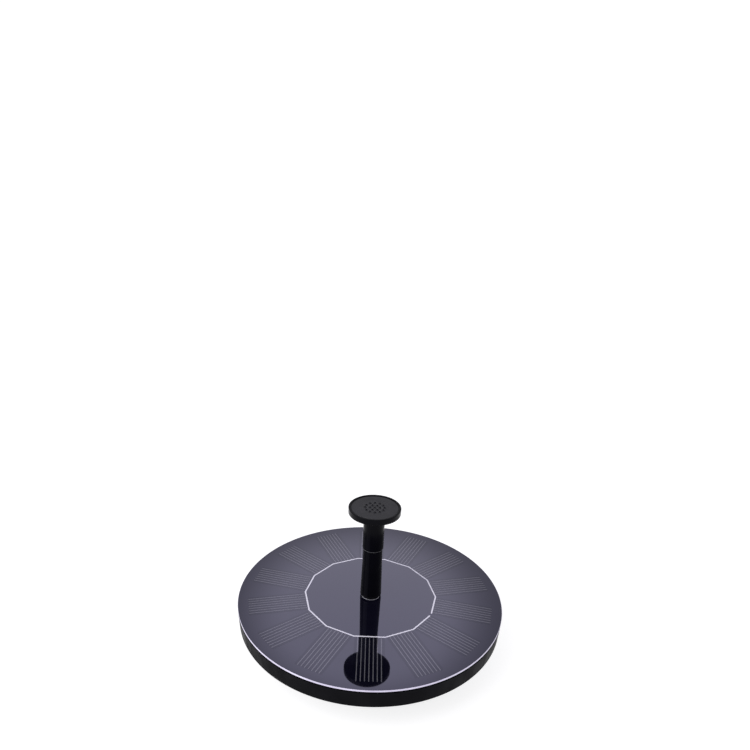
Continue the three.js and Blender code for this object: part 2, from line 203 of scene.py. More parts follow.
def piece(name, bm, body, material, replaces=()):
    """A shown piece from a bmesh in millimetres. Edges sharper than CREASE stay sharp."""
    bmesh.ops.remove_doubles(bm, verts=bm.verts, dist=1e-4)
    bmesh.ops.recalc_face_normals(bm, faces=bm.faces)
    bm.transform(Matrix.Scale(MM, 4))
    for face in bm.faces:
        face.smooth = True
    for edge in bm.edges:
        edge.smooth = len(edge.link_faces) == 2 and edge.calc_face_angle() < CREASE
    mesh = bpy.data.meshes.new(name)
    bm.to_mesh(mesh)
    bm.free()
    made = bpy.data.objects.new(name, mesh)
    bpy.context.scene.collection.objects.link(made)
    mesh.materials.append(material)
    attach(made, body)
    if replaces:
        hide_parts(*replaces)
    # Flat faces keep flat shading right up to their rounded edges.
    made.modifiers.new("normals", "WEIGHTED_NORMAL").keep_sharp = True
    return made


def spin(bm, outline, segments, x=0, y=0):
    """Adds the closed outline of (radius, height) turned about the upright line through (x, y)."""
    columns = []
    for i in range(segments):
        angle = tau * i / segments
        columns.append([
            bm.verts.new((x + r * cos(angle), y + r * sin(angle), z)) for r, z in outline
        ])
    count = len(outline)
    for i, column in enumerate(columns):
        after = columns[(i + 1) % segments]
        for j in range(count):
            k = (j + 1) % count
            if outline[j][0] == 0 and outline[k][0] == 0:
                continue
            bm.faces.new((column[j], after[j], after[k], column[k]))


def slab(bm, outline, start, end, along="z"):
    """Adds a flat outline of (x, y) points from start to end up Z, or of (y, z) points along X."""
    def ring(level):
        places = [(a, b, level) if along == "z" else (level, a, b) for a, b in outline]
        return [bm.verts.new(place) for place in places]

    low, high = ring(start), ring(end)
    bm.faces.new(low[::-1])
    bm.faces.new(high)
    for i in range(len(outline)):
        j = (i + 1) % len(outline)
        bm.faces.new((low[i], low[j], high[j], high[i]))


def solid(outline, start, end, along="z"):
    bm = bmesh.new()
    slab(bm, outline, start, end, along)
    return bm


def wheel(outline, segments, x=0, y=0):
    """A bmesh of an outline of (radius, height) points, turned about the upright line through (x, y)."""
    bm = bmesh.new()
    spin(bm, rounded(outline), segments, x, y)
    return bm


def disc(radius, bottom, top, segments, x=0, y=0):
    return solid(circle(radius, segments, x, y), bottom, top)


def evenly(count, start=0):
    """Angles that share a full turn between them."""
    return [start + tau * i / count for i in range(count)]


def copies(shape, turns, x=0):
    """A bmesh with a copy of shape at each turn about the upright line through (x, 0)."""
    mesh = bpy.data.meshes.new("shape")
    shape.to_mesh(mesh)
    shape.free()
    bm = bmesh.new()
    for turn in turns:
        count = len(bm.verts)
        bm.from_mesh(mesh)
        bm.verts.ensure_lookup_table()
        matrix = Matrix.Rotation(turn, 3, "Z")
        bmesh.ops.rotate(bm, verts=bm.verts[count:], cent=(x, 0, 0), matrix=matrix)
    bpy.data.meshes.remove(mesh)
    return bm


def joined_meshes(first, second):
    """first with second's mesh added to it."""
    mesh = bpy.data.meshes.new("added")
    second.to_mesh(mesh)
    second.free()
    first.from_mesh(mesh)
    bpy.data.meshes.remove(mesh)
    return first


def combined(operation, whole, *others):
    """whole after a UNION with, or the DIFFERENCE from, each of the other closed shapes in turn."""
    for other in others:
        holders = []
        for bm in (whole, other):
            # A shape that reaches its own axis has a point there for each of its columns.
            bmesh.ops.remove_doubles(bm, verts=bm.verts, dist=1e-4)
            bmesh.ops.recalc_face_normals(bm, faces=bm.faces)
            mesh = bpy.data.meshes.new("solid")
            bm.to_mesh(mesh)
            bm.free()
            holders.append(bpy.data.objects.new("solid", mesh))
            bpy.context.scene.collection.objects.link(holders[-1])
        step = holders[0].modifiers.new("step", "BOOLEAN")
        step.operation, step.object, step.solver = operation, holders[1], "EXACT"
        shown = holders[0].evaluated_get(bpy.context.evaluated_depsgraph_get())
        whole = bmesh.new()
        whole.from_mesh(shown.to_mesh())
        for holder in holders:
            bpy.data.meshes.remove(holder.data)
    return whole


def soften(made, width_mm):
    """Rounds a piece's sharp edges, before its shading normals are worked out."""
    edge = made.modifiers.new("edges", "BEVEL")
    edge.width, edge.segments = width_mm * MM, 2
    edge.limit_method, edge.angle_limit = "ANGLE", radians(40)
    made.modifiers.move(1, 0)


def tube(bm, points, radius, sides=12, closed=False):
    """Adds a round wire through the points, with flat ends unless it is closed."""
    rings = []
    count = len(points)
    # The section is carried along the wire without twisting.
    across = (points[1] - points[0]).orthogonal()
    for i, point in enumerate(points):
        before = points[i - 1] if closed or i else point
        after = points[(i + 1) % count] if closed or i < count - 1 else point
        along = (after - before).normalized()
        across = (across - along * across.dot(along)).normalized()
        up = across.cross(along)
        angles = evenly(sides)
        rings.append([bm.verts.new(point + radius * (cos(a) * across + sin(a) * up)) for a in angles])
    for i in range(count if closed else count - 1):
        ring, after = rings[i], rings[(i + 1) % count]
        for j in range(sides):
            k = (j + 1) % sides
            bm.faces.new((ring[j], ring[k], after[k], after[j]))
    if not closed:
        bm.faces.new(rings[0][::-1])
        bm.faces.new(rings[-1])


def turned(name, outline, body, material, replaces=(), segments=160):
    """A shown piece turned about the fountain's axis, from a closed outline as rounded takes it."""
    bm = bmesh.new()
    spin(bm, rounded(outline), segments)
    return piece(name, bm, body, material, replaces)


def pierced(outlines, bottom, top, edge):
    """A bmesh of a flat plate with holes and softly rounded edges. The first outline is the plate's own."""
    curve = bpy.data.curves.new("outlines", "CURVE")
    curve.dimensions, curve.fill_mode = "2D", "BOTH"
    curve.extrude = (top - bottom) / 2 - edge
    curve.bevel_depth, curve.bevel_resolution, curve.offset = edge, 2, -edge
    for outline in outlines:
        loop = curve.splines.new("POLY")
        loop.points.add(len(outline) - 1)
        for point, (x, y) in zip(loop.points, outline):
            point.co = (x, y, 0, 1)
        loop.use_cyclic_u = True
    holder = bpy.data.objects.new("outlines", curve)
    bpy.context.scene.collection.objects.link(holder)
    mesh = bpy.data.meshes.new_from_object(holder.evaluated_get(bpy.context.evaluated_depsgraph_get()))
    bpy.data.objects.remove(holder)
    bm = bmesh.new()
    bm.from_mesh(mesh)
    bpy.data.meshes.remove(mesh)
    bmesh.ops.translate(bm, verts=bm.verts, vec=(0, 0, (top + bottom) / 2))
    return bm


# ---- Materials ----


class Paint:
    """A procedural material on a Principled shader, laid out in the frame's own metres."""

    def __init__(self, name, **constants):
        self.material = bpy.data.materials.new(name)
        self.material.use_nodes = True
        self.tree = self.material.node_tree
        self.shader = self.tree.nodes["Principled BSDF"]
        self.place = self.node("ShaderNodeTexCoord").outputs["Object"]
        for socket, value in constants.items():
            self.shader.inputs[socket.replace("_", " ")].default_value = value

    def node(self, kind, inputs=None, **settings):
        made = self.tree.nodes.new(kind)
        for key, value in settings.items():
            setattr(made, key, value)
        for key, value in (inputs or {}).items():
            if isinstance(value, bpy.types.NodeSocket):
                self.tree.links.new(value, made.inputs[key])
            else:
                made.inputs[key].default_value = value
        return made

    def noise(self, size_mm, detail=3, stretch=(1, 1, 1)):
        """Noise from 0 to 1 with features of about this size, drawn out along the axes by stretch."""
        scaled = self.node("ShaderNodeVectorMath", {0: self.place, 1: [1 / s for s in stretch]},
                           operation="MULTIPLY")
        settings = {"Vector": scaled.outputs[0], "Scale": 1 / (size_mm * MM), "Detail": detail}
        return self.node("ShaderNodeTexNoise", settings).outputs["Fac"]

    def ranged(self, value, low, high, near=0.3, far=0.7):
        """value, taken from near..far to low..high."""
        settings = {"Value": value, "From Min": near, "From Max": far, "To Min": low, "To Max": high}
        return self.node("ShaderNodeMapRange", settings).outputs["Result"]

    def mixed(self, factor, first, second):
        """The colour between first and second."""
        made = self.node("ShaderNodeMix", {"Factor": factor}, data_type="RGBA")
        for socket, colour in ((made.inputs[6], first), (made.inputs[7], second)):
            if isinstance(colour, bpy.types.NodeSocket):
                self.tree.links.new(colour, socket)
            else:
                socket.default_value = (*colour, 1)
        return made.outputs[2]

    def colour(self, value):
        self.tree.links.new(value, self.shader.inputs["Base Color"])

    def roughness(self, value):
        self.tree.links.new(value, self.shader.inputs["Roughness"])

    def bump(self, height, depth_mm):
        """Raises the surface by depth_mm where height is 1. Later bumps add to earlier ones."""
        made = self.node("ShaderNodeBump", {"Height": height, "Distance": depth_mm * MM})
        normal = self.shader.inputs["Normal"]
        if normal.is_linked:
            self.tree.links.new(normal.links[0].from_socket, made.inputs["Normal"])
        self.tree.links.new(made.outputs[0], normal)


def resin_face(name, dark, light, mottle_mm=9, ior=1.93):
    """A surface under the panel's clear gloss: one even mirror finish with faint smears."""
    paint = Paint(name, IOR=ior, Specular_Tint=(0.72, 0.70, 1.0, 1))
    paint.colour(paint.mixed(paint.ranged(paint.noise(mottle_mm), 0, 1), dark, light))
    paint.roughness(paint.ranged(paint.noise(16, 5, (1, 2.2, 1)), 0.02, 0.045))
    paint.bump(paint.noise(26, 1), 0.004)
    return paint.material


def moulded(name, dark, light, gloss, specular=0.5, grain_mm=1.2, grain_depth=0.002, sheen=0):
    """Injection-moulded plastic: flow mottle, a faint skin texture and soft handling marks."""
    paint = Paint(name, IOR=1.5, Specular_IOR_Level=specular, Sheen_Weight=sheen, Sheen_Roughness=0.35)
    paint.colour(paint.mixed(paint.ranged(paint.noise(12), 0, 1), dark, light))
    paint.roughness(paint.ranged(paint.noise(6, 6, (1, 1, 2.5)), gloss * 0.8, gloss * 1.3))
    paint.bump(paint.noise(grain_mm, 2), grain_depth)
    paint.bump(paint.noise(18, 1), 0.01)
    return paint.material


def metal(name, dark, light, gloss, grain_mm, stretch=(1, 1, 1)):
    """Bare metal with fine marks drawn out along one axis."""
    paint = Paint(name, Metallic=1.0)
    marks = paint.noise(grain_mm, 4, stretch)
    paint.colour(paint.mixed(paint.ranged(marks, 0, 1), dark, light))
    paint.roughness(paint.ranged(paint.noise(4, 5), gloss * 0.75, gloss * 1.35))
    paint.bump(marks, 0.003)
    return paint.material


def foam_material():
    """Closed-cell foam: small round cells, some of them open where the sheet was cut."""
    paint = Paint("foam_cells", IOR=1.45, Specular_IOR_Level=0.3)
    place = {"Vector": paint.place, "Scale": 1 / (0.9 * MM)}
    cells = paint.node("ShaderNodeTexVoronoi", place).outputs["Distance"]
    tint = paint.mixed(paint.ranged(paint.noise(20), 0, 1), (0.66, 0.66, 0.63), (0.78, 0.78, 0.75))
    paint.colour(paint.mixed(paint.ranged(cells, 0, 0.5, 0.1, 0.6), tint, (0.42, 0.42, 0.40)))
    paint.roughness(paint.ranged(cells, 0.75, 0.95, 0.1, 0.6))
    paint.bump(cells, 0.12)
    return paint.material


def sintered(name, dark, light, gloss):
    """Pressed powder, fired hard: a fine even speckle with a few larger pores."""
    paint = Paint(name, IOR=1.6)
    speckle = paint.noise(0.25, 2)
    paint.colour(paint.mixed(paint.ranged(speckle, 0, 1), dark, light))
    paint.roughness(paint.ranged(paint.noise(2.5, 4), gloss * 0.8, gloss * 1.25))
    paint.bump(speckle, 0.006)
    return paint.material


def circuit_board():
    """Green solder mask over glass weave, with paler copper runs beneath it."""
    paint = Paint("driver_mask", IOR=1.52)
    settings = {"Vector": paint.place, "Scale": 1 / (1.6 * MM), "Distortion": 0.4}
    weave = paint.node("ShaderNodeTexWave", settings).outputs["Fac"]
    base = paint.mixed(paint.ranged(paint.noise(5), 0, 1), (0.006, 0.052, 0.020), (0.009, 0.070, 0.028))
    paint.colour(paint.mixed(paint.ranged(weave, 0, 0.25), base, (0.02, 0.11, 0.05)))
    paint.roughness(paint.ranged(paint.noise(3, 4), 0.22, 0.38))
    paint.bump(weave, 0.004)
    return paint.material


RESIN = resin_face("panel_resin", (0.0030, 0.0028, 0.0075), (0.0040, 0.0038, 0.0095))
CELL = resin_face("cell_under_resin", (0.0022, 0.0022, 0.0060), (0.0034, 0.0034, 0.0090), 4, 1.84)
FINGER = resin_face("finger_print", (0.085, 0.083, 0.098), (0.112, 0.110, 0.126), 3)
RIBBON = resin_face("tinned_ribbon", (0.66, 0.64, 0.74), (0.80, 0.79, 0.86), 2)
# The clear sheet's cut edge is coloured pale all round: partly its own tone, mostly a painted highlight of
# the light it catches.
EDGE_HIGHLIGHT = moulded("clear_edge_painted_highlight", (0.54, 0.50, 0.66), (0.74, 0.71, 0.86), 0.2)
# A painted highlight: the pale grey bead stands in for light catching the collar's top edge.
SEALANT_HIGHLIGHT = moulded("sealant_painted_highlight", (0.30, 0.30, 0.33), (0.42, 0.42, 0.46), 0.16)
BOARD = moulded("board_mask", (0.006, 0.006, 0.008), (0.011, 0.011, 0.014), 0.35, 0.3)
TRAY = moulded("tray_plastic", (0.0028, 0.0028, 0.0038), (0.0048, 0.0048, 0.0062), 0.42, 0.02)
PIPE = moulded("pipe_plastic", (0.0010, 0.0010, 0.0022), (0.0018, 0.0018, 0.0036), 0.12, 0.05, sheen=0.14)
JET = moulded("jet_plate_plastic", (0.005, 0.005, 0.0085), (0.008, 0.008, 0.0125), 0.2, 0.22)
# A painted highlight: the grey ring stands in for light catching the seam between tube and nozzle.
SEAM_HIGHLIGHT = moulded("seam_ring_painted_highlight", (0.060, 0.060, 0.066), (0.085, 0.085, 0.092), 0.4, 0.3)
COLLAR = moulded("collar_rubber", (0.0025, 0.0025, 0.0035), (0.004, 0.004, 0.005), 0.22, 0.1)
PUMP = moulded("pump_plastic", (0.010, 0.010, 0.011), (0.016, 0.016, 0.018), 0.32, 0.3)
WHEEL = moulded("impeller_acetal", (0.62, 0.62, 0.58), (0.72, 0.72, 0.68), 0.34, 0.45)
RUBBER = moulded("bush_rubber", (0.012, 0.012, 0.013), (0.022, 0.022, 0.023), 0.6, 0.3, 0.6, 0.01)
CHIP = moulded("chip_epoxy", (0.010, 0.010, 0.011), (0.020, 0.020, 0.021), 0.5, 0.4, 0.15, 0.006)
SLEEVE = moulded("can_sleeve", (0.010, 0.011, 0.030), (0.016, 0.018, 0.044), 0.3)
RED = moulded("red_insulation", (0.34, 0.010, 0.010), (0.46, 0.018, 0.016), 0.36)
BLACK = moulded("black_insulation", (0.008, 0.008, 0.008), (0.016, 0.016, 0.016), 0.36)
STEEL = metal("core_steel", (0.32, 0.33, 0.35), (0.46, 0.47, 0.49), 0.36, 0.3, (1, 1, 0.2))
COPPER = metal("enamelled_copper", (0.50, 0.17, 0.06), (0.68, 0.27, 0.10), 0.26, 0.5)
TIN = metal("tinned_metal", (0.58, 0.58, 0.60), (0.74, 0.74, 0.76), 0.3, 0.4)
MAGNET = sintered("ferrite", (0.022, 0.022, 0.024), (0.050, 0.050, 0.054), 0.42)
CERAMIC = sintered("white_ceramic", (0.76, 0.74, 0.69), (0.84, 0.83, 0.79), 0.14)
FOAM = foam_material()
MASK = circuit_board()

# ---- Panel ----

FACE_TOP = PANEL_TOP - 0.03
CELL_TOP = PANEL_TOP - 0.02
PRINT_TOP = PANEL_TOP - 0.005
EDGE_W = 0.12


def panel_face():
    rim = FLOAT_R - EDGE_W
    outline = [
        (TUBE_HOLE_R, sheet_low.z),
        (rim, sheet_low.z),
        (rim, FACE_TOP),
        (TUBE_HOLE_R, FACE_TOP, 0.2),
    ]
    turned("panel_face", outline, "float", RESIN, ["clear_front_sheet"], 256)


def sheet_edge():
    inner = FLOAT_R - EDGE_W
    outline = [
        (inner, sheet_low.z),
        (FLOAT_R, sheet_low.z, 0.05),
        (FLOAT_R, PANEL_TOP, 0.1),
        (inner, PANEL_TOP, 0.02),
    ]
    # Its pale colour is mostly a painted highlight along the sheet's edge.
    turned("sheet_edge", outline, "float", EDGE_HIGHLIGHT, (), 256)


def sector_turn(index):
    """The turn of a cell, or of the ribbon's edge beside it."""
    return Matrix.Rotation(tau * (index + 0.5) / CELL_COUNT, 3, "Z")


def cell_faces(inner, outer):
    half = RIBBON_R * sin(pi / CELL_COUNT) - 0.4
    outline = [(inner, -half, 0.3), (outer, -half, 0.9), (outer, half, 0.9), (inner, half, 0.3)]
    for i in range(CELL_COUNT):
        bm = solid(rounded(outline, 4), CELL_TOP - 0.2, CELL_TOP)
        bmesh.ops.rotate(bm, verts=bm.verts, matrix=sector_turn(i))
        piece(f"cell_face_{i + 1:02d}", bm, "float", CELL, [f"solar_cell_{i + 1:02d}"])


def fingers(inner, outer):
    """The seven parallel lines printed on each cell, running outwards from the ribbon."""
    for i in range(CELL_COUNT):
        bm = bmesh.new()
        for j in range(FINGERS):
            line = oblong(inner, outer, FINGER_W / 2, 4)
            y = (j - (FINGERS - 1) / 2) * FINGER_PITCH
            slab(bm, [(x, side + y) for x, side in line], PRINT_TOP - 0.05, PRINT_TOP)
        bmesh.ops.rotate(bm, verts=bm.verts, matrix=sector_turn(i))
        piece(f"cell_fingers_{i + 1:02d}", bm, "float", FINGER)


def bus_line():
    """The flat ribbon that joins the cells, crowned a little, with its ends apart at one corner."""
    width, gap = 0.86, 1.1
    turns = [tau * (i - 1) / CELL_COUNT for i in range(CELL_COUNT + 1)]
    corners = [Vector((RIBBON_R * cos(a), RIBBON_R * sin(a))) for a in turns]
    corners[0] += (corners[1] - corners[0]).normalized() * gap
    corners[-1] += (corners[-2] - corners[-1]).normalized() * gap
    section = [(-0.5, -0.05), (-0.5, -0.012), (-0.3, 0), (0.3, 0), (0.5, -0.012), (0.5, -0.05)]
    bm = bmesh.new()
    rings = []
    for i, point in enumerate(corners):
        before = (point - corners[i - 1]).normalized() if i else (corners[1] - point).normalized()
        after = (corners[i + 1] - point).normalized() if i < CELL_COUNT else before
        along = (before + after).normalized()
        side = Vector((along.y, -along.x)) / along.dot(before)
        rings.append([
            bm.verts.new((*(point + side * s * width), PRINT_TOP + z)) for s, z in section
        ])
    for ring, after in zip(rings, rings[1:]):
        for j in range(len(section)):
            k = (j + 1) % len(section)
            bm.faces.new((ring[j], ring[k], after[k], after[j]))
    bm.faces.new(rings[0])
    bm.faces.new(rings[-1][::-1])
    piece("bus_line", bm, "float", RIBBON, ["bus_ribbon"])


def cell_ends():
    """How far from the tube's axis the first cell starts and ends, along its own length."""
    turned_back = sector_turn(0).inverted()
    cell = frame["nodes"]["solar_cell_01"]
    places = [(turned_back @ v.co).x / MM for v in cell.data.vertices]
    return min(places), max(places)


def board_disc():
    outline = [
        (TUBE_HOLE_R, board_low.z, 0.1),
        (board_high.x, board_low.z, 0.1),
        (board_high.x, board_high.z, 0.1),
        (TUBE_HOLE_R, board_high.z, 0.1),
    ]
    turned("board_disc", outline, "float", BOARD, ["panel_board"], 192)


cell_start, cell_end = cell_ends()
panel_face()
sheet_edge()
cell_faces(cell_start, cell_end)
fingers(cell_start + 0.1, cell_end - 0.1)
bus_line()
board_disc()

# ---- Float ----

TRAY_HOLE_R = 33.4
TRAY_FLOOR = 21.4
RIB_COUNT = 12


def float_tray():
    floor_under, wall_r = TRAY_FLOOR - 1.6, 77.2
    outline = [
        (TRAY_HOLE_R, strainer_high.z + 0.3, 0.3),
        (TRAY_HOLE_R + 2.6, strainer_high.z + 0.3, 0.3),
        (TRAY_HOLE_R + 2.6, floor_under, 0.4),
        (FLOAT_R - 3.4, floor_under, 0.5),
        (FLOAT_R - 3.4, tray_low.z, 0.4),
        (FLOAT_R - 0.6, tray_low.z, 0.45),
        (FLOAT_R, tray_high.z, 0.3),
        (wall_r + 1.1, tray_high.z, 0.15),
        (wall_r + 1.1, board_low.z - 0.1),
        (wall_r, board_low.z - 0.1, 0.2),
        (wall_r - 0.2, TRAY_FLOOR, 0.8),
        (TRAY_HOLE_R, TRAY_FLOOR, 0.3),
    ]
    # Round marks of the ejector pins, one between each pair of ribs.
    marks = copies(disc(2.6, floor_under - 1, floor_under + 0.12, 32, 56), evenly(RIB_COUNT))
    tray = combined("DIFFERENCE", wheel(outline, 256), marks)
    piece("float_tray", tray, "float", TRAY, ["float_shell"])
    inner, outer = TRAY_HOLE_R + 2, FLOAT_R - 2.9
    side = [(inner, -0.7, 0.4), (outer, -0.7, 0.4), (outer, 0.7, 0.4), (inner, 0.7, 0.4)]
    for i, turn in enumerate(evenly(RIB_COUNT, pi / RIB_COUNT)):
        bm = solid(rounded(side, 3), strainer_high.z + 0.4, floor_under + 0.2)
        bmesh.ops.rotate(bm, verts=bm.verts, matrix=Matrix.Rotation(turn, 3, "Z"))
        soften(piece(f"tray_rib_{i + 1:02d}", bm, "float", TRAY), 0.2)


def float_foam():
    hole = 42
    outline = [
        (hole, foam_low.z, 0.5),
        (foam_high.x, foam_low.z, 0.5),
        (foam_high.x, foam_high.z, 0.5),
        (hole, foam_high.z, 0.5),
    ]
    turned("float_foam", outline, "float", FOAM, ["foam_ring"])


float_tray()
float_foam()

# ---- Pump body ----

CHAMBER_R = 11.4
CUP_R = 5.6
CUP_TOP = 24
OUTLET_R = 4.8
OUTLET_BORE_R = 3.6
THROAT = (ROTOR_X - 2, 6.5)
PLATE_UNDER = 12
PLATE_TOP = 13.4
DRUM_R = 33
DRUM_BORE_R = 31.4
LUG_TURNS = evenly(3, pi / 2)


def volute(bottom, top, margin):
    """The chamber round the impeller and its throat to the outlet, grown outwards by margin."""
    throat_r, port_r = 3.7 + margin, OUTLET_BORE_R + 0.4 + margin
    throat = tangents(THROAT, throat_r, (0, 0), port_r)
    chamber = disc(CHAMBER_R + margin, bottom, top, 96, ROTOR_X)
    return combined("UNION", chamber, solid(throat, bottom, top))


def pump_case():
    inside_plate = (PLATE_UNDER + PLATE_TOP) / 2
    flange_bottom, flange_top = TRAY_FLOOR + 0.2, TRAY_FLOOR + 1.6
    drum_top = board_low.z - 0.2
    drum = wheel([
        (0, PLATE_UNDER),
        (DRUM_BORE_R, PLATE_UNDER, 0.6),
        (DRUM_BORE_R, pump_low.z, 0.4),
        (DRUM_R, pump_low.z, 0.4),
        (DRUM_R, flange_bottom, 0.3),
        (pump_high.x, flange_bottom, 0.3),
        (pump_high.x, flange_top, 0.3),
        (DRUM_R, flange_top, 0.5),
        (DRUM_R, drum_top, 0.4),
        (DRUM_BORE_R, drum_top, 0.4),
        (DRUM_BORE_R, PLATE_TOP, 0.8),
        (0, PLATE_TOP),
    ], 128)
    cup = disc(CUP_R + 1, inside_plate, CUP_TOP + 1, 64, ROTOR_X)
    outlet = disc(OUTLET_R, inside_plate, pump_high.z, 64)
    outside = combined("UNION", drum, volute(cover_high.z + 0.1, inside_plate, 1.4), cup, outlet)
    cup_bore = disc(CUP_R, PLATE_UNDER - 1, CUP_TOP, 64, ROTOR_X)
    outlet_bore = disc(OUTLET_BORE_R, PLATE_UNDER - 1, pump_high.z + 1, 64)
    case = combined("DIFFERENCE", outside, volute(cover_low.z, PLATE_UNDER, 0), cup_bore, outlet_bore)
    low, high = upper_low.z - 0.1, CUP_TOP + 0.5
    bush_socket = wheel([(2.4, low), (3.4, low), (3.4, high), (2.4, high)], 48, ROTOR_X)
    post_away, post_turn = 21, 0.667
    posts = copies(disc(1.4, inside_plate, driver_low.z - 0.1, 24, -post_away), [post_turn, -post_turn])
    lug_bottom, lug_top = strainer_high.z - 2.6, strainer_high.z - 0.8
    lug = [(-2.5, lug_bottom), (2.5, lug_bottom), (2.5, lug_top), (-2.5, lug_top)]
    lugs = copies(solid(lug, DRUM_R - 0.8, DRUM_R + 1.3, "x"), LUG_TURNS)
    case = combined("UNION", case, bush_socket, posts, lugs)
    soften(piece("pump_case", case, "float", PUMP, ["pump_body"]), 0.22)


pump_case()

# ---- Stator and driver ----

SHOE_R = CUP_R + 1.3
TOOTH_HALF = 1.6
YOKE_R = core_high.y
YOKE_BORE_R = YOKE_R - 2
SHEETS = 12


def lamination():
    """The hole of one steel sheet: the bore between the shoes and the four winding spaces."""
    shoe_back, slot_half = SHOE_R + 0.9, 1.6
    slot_turn, tooth_turn = slot_half / SHOE_R, TOOTH_HALF / YOKE_BORE_R
    back_turn, neck_turn = slot_half / shoe_back, TOOTH_HALF / shoe_back
    hole = []
    for turn in evenly(4):
        hole += arc(SHOE_R, turn - pi / 2 + slot_turn, turn - slot_turn, 10)
        hole += arc(shoe_back, turn - back_turn, turn - pi / 4 + neck_turn, 5)
        hole += arc(YOKE_BORE_R, turn - pi / 4 + tooth_turn, turn + pi / 4 - tooth_turn, 14)
        hole += arc(shoe_back, turn + pi / 4 - neck_turn, turn + back_turn, 5)
    return hole


def stator_stack():
    bm = bmesh.new()
    height = core_high.z - core_low.z
    mesh = bpy.data.meshes.new("sheet")
    sheet = pierced([circle(YOKE_R, 96), lamination()], 0, height / SHEETS - 0.03, 0.04)
    sheet.to_mesh(mesh)
    sheet.free()
    for i in range(SHEETS):
        count = len(bm.verts)
        bm.from_mesh(mesh)
        bm.verts.ensure_lookup_table()
        bmesh.ops.translate(bm, verts=bm.verts[count:], vec=(ROTOR_X, 0, core_low.z + height * i / SHEETS))
    bpy.data.meshes.remove(mesh)
    piece("stator_stack", bm, "float", STEEL, ["stator_core"])


def windings():
    """Four coils, each wound in layers of round wire about its tooth."""
    near, wire_r, turns_across, layers = 8.3, 0.2, 4, 3
    middle, half_height = (core_low.z + core_high.z) / 2, (core_high.z - core_low.z) / 2
    for i, turn in enumerate(evenly(4, pi / 4)):
        bm = bmesh.new()
        for j in range(turns_across * layers):
            x = near + (j % turns_across) * 2.1 * wire_r
            out = 0.5 + (j // turns_across) * 2.05 * wire_r
            y, z = TOOTH_HALF + out, half_height + out
            loop = rounded([(-y, -z, out), (y, -z, out), (y, z, out), (-y, z, out)], 5)
            tube(bm, [Vector((x, a, b + middle)) for a, b in loop], wire_r, 8, True)
        bmesh.ops.rotate(bm, verts=bm.verts, matrix=Matrix.Rotation(turn, 3, "Z"))
        bmesh.ops.translate(bm, verts=bm.verts, vec=(ROTOR_X, 0, 0))
        piece(f"winding_{i + 1:02d}", bm, "float", COPPER, [f"stator_coil_{i + 1:02d}"])


def driver_pcb():
    x0, x1, y = driver_low.x, driver_high.x, driver_high.y
    outline = rounded([(x0, -y, 1), (x1, -y, 1), (x1, y, 1), (x0, y, 1)], 6)
    holes = [circle(0.9, 24, x0 + 2, side * (y - 2)) for side in (-1, 1)]
    pcb = pierced([outline, *holes], driver_low.z, driver_high.z, 0.08)
    piece("driver_pcb", pcb, "float", MASK, ["driver_board"])
    lead_ends = [(-10, -6.5), (-10, 6.5), (-22, 5.4), (-22, 8.6)]
    bm = bmesh.new()
    for pad in lead_ends:
        dome = wheel([(0, 0), (0.9, 0), (0.55, 0.3, 0.3), (0, 0.42)], 20)
        bmesh.ops.translate(dome, verts=dome.verts, vec=(*pad, driver_high.z))
        bm = joined_meshes(bm, dome)
    piece("solder_joints", bm, "float", TIN)


def chip():
    body = [
        (chip_low.y + 1, chip_low.z + 0.15, 0.1),
        (chip_high.y - 1, chip_low.z + 0.15, 0.1),
        (chip_high.y - 1.15, chip_high.z, 0.12),
        (chip_low.y + 1.15, chip_high.z, 0.12),
    ]
    package = solid(rounded(body, 2), chip_low.x, chip_high.x, "x")
    mark = disc(0.4, chip_high.z - 0.08, chip_high.z + 1, 20, chip_low.x + 0.9, -1)
    package = combined("DIFFERENCE", package, mark)
    piece("chip_package", package, "float", CHIP, ["driver_chip"])
    leg = [(1.9, 0.7), (2.35, 0.7), (2.5, 0.12), (3, 0.12), (3, 0), (2.4, 0), (2.25, 0.55), (1.9, 0.55)]
    bm = bmesh.new()
    for side in (-1, 1):
        for j in range(4):
            x = chip_low.x + 0.7 + j * 1.2
            slab(bm, [(side * y, chip_low.z + z) for y, z in leg], x, x + 0.4, "x")
    piece("chip_legs", bm, "float", TIN)


def vent(x, y, top, half_x, half_y):
    """One stroke of the cross scored in the capacitor's lid."""
    left, right, front, back = x - half_x, x + half_x, y - half_y, y + half_y
    return solid([(left, front), (right, front), (right, back), (left, back)], top - 0.15, top + 1)


def capacitor():
    x, y = (can_low.x + can_high.x) / 2, (can_low.y + can_high.y) / 2
    r, bottom, top = (can_high.x - can_low.x) / 2, can_low.z, can_high.z
    lid_r = r - 0.6
    sleeve = wheel([
        (0, bottom + 0.2),
        (r - 0.3, bottom + 0.2, 0.2),
        (r, bottom + 0.6, 0.2),
        (r, bottom + 1, 0.1),
        (r - 0.25, bottom + 1.3, 0.1),
        (r, bottom + 1.6, 0.1),
        (r, top - 0.1, 0.35),
        (lid_r, top - 0.1),
        (lid_r, top - 0.3),
        (0, top - 0.3),
    ], 64, x, y)
    piece("can_sleeve", sleeve, "float", SLEEVE, ["smoothing_capacitor"])
    lid = wheel([(0, top - 0.35), (lid_r, top - 0.35), (lid_r, top - 0.05, 0.1), (0, top - 0.05)], 64, x, y)
    cross = combined("UNION", vent(x, y, top, 1.7, 0.12), vent(x, y, top, 0.12, 1.7))
    piece("can_lid", combined("DIFFERENCE", lid, cross), "float", TIN)


